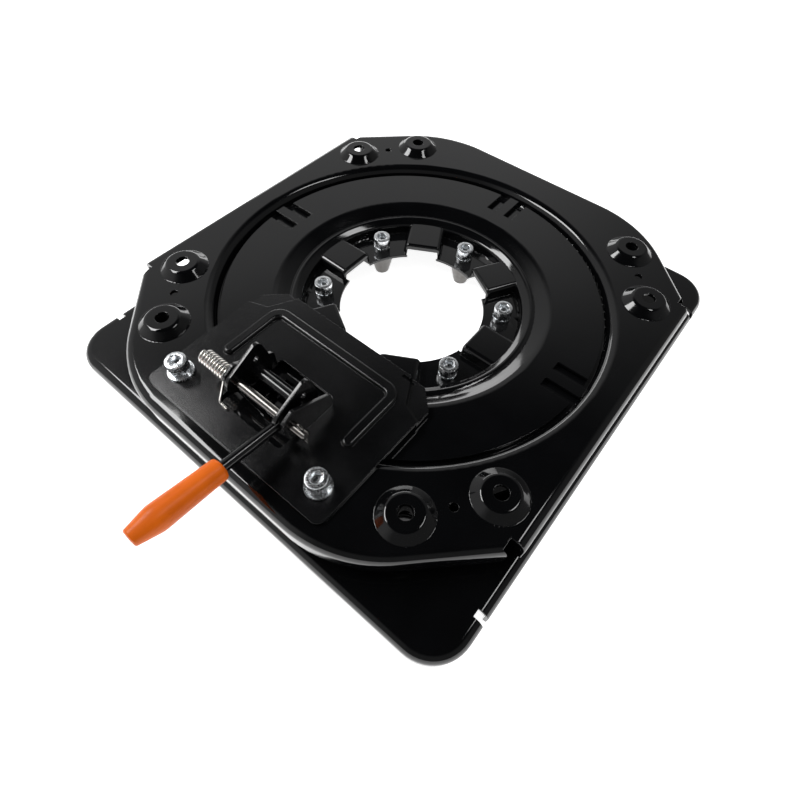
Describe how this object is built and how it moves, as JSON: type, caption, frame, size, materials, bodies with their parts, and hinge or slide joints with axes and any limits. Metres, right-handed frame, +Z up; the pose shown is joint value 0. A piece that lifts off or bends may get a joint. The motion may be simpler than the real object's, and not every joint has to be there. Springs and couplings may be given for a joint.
{
  "type": "swivel seat base",
  "caption": "Pressed steel swivel base for a camper seat: a plate that turns on a fixed pan about a bolted hub ring and locks with a sprung lever latch.",
  "frame": {"origin": "on the swivel axis, in the plane of the base pan's lower edge", "axes": "+Z up along the swivel axis, -Y towards the lever, +X to the right when facing the object from the lever side"},
  "size_m": [0.408, 0.5079, 0.0976],
  "materials": {
    "black_paint": "gloss black paint on pressed steel",
    "zinc": "bright zinc plate",
    "bright_steel": "bare bright steel",
    "slide_plastic": "natural low friction plastic",
    "orange_grip": "satin moulded plastic"
  },
  "bodies": {
    "base": {"base_plate": "black_paint", "hub_bushes": "zinc", "lower_slide_ring": "slide_plastic", "upper_slide_ring": "slide_plastic", "hub_ring": "black_paint", "hub_screws": "zinc", "hub_spring_washers": "zinc"},
    "turntable": {"upper_plate": "black_paint", "seat_nuts": "black_paint", "latch_plate": "black_paint", "latch_bolts": "zinc", "latch_spring_washers": "zinc", "latch_flat_washers": "zinc", "latch_bolt_nuts": "black_paint", "torsion_spring": "bright_steel"},
    "latch": {"latch_fork": "black_paint", "fork_cross_bar": "black_paint", "lever_rod": "black_paint", "lever_grip": "orange_grip", "pivot_pin": "bright_steel", "pin_clip": "bright_steel"}
  },
  "joints": [
    {"name": "swivel", "type": "hinge", "parent": "base", "child": "turntable", "pos_m": [0, 0, 0.045], "axis": [0, 0, 1], "continuous": true},
    {"name": "lever", "type": "hinge", "parent": "turntable", "child": "latch", "pos_m": [0, -0.1715, 0.0756], "axis": [1, 0, 0], "range_deg": [-8, 14], "stiffness_Nm_per_rad": 1.2, "springref_deg": -20.05, "deforming": ["torsion_spring"]}
  ]
}
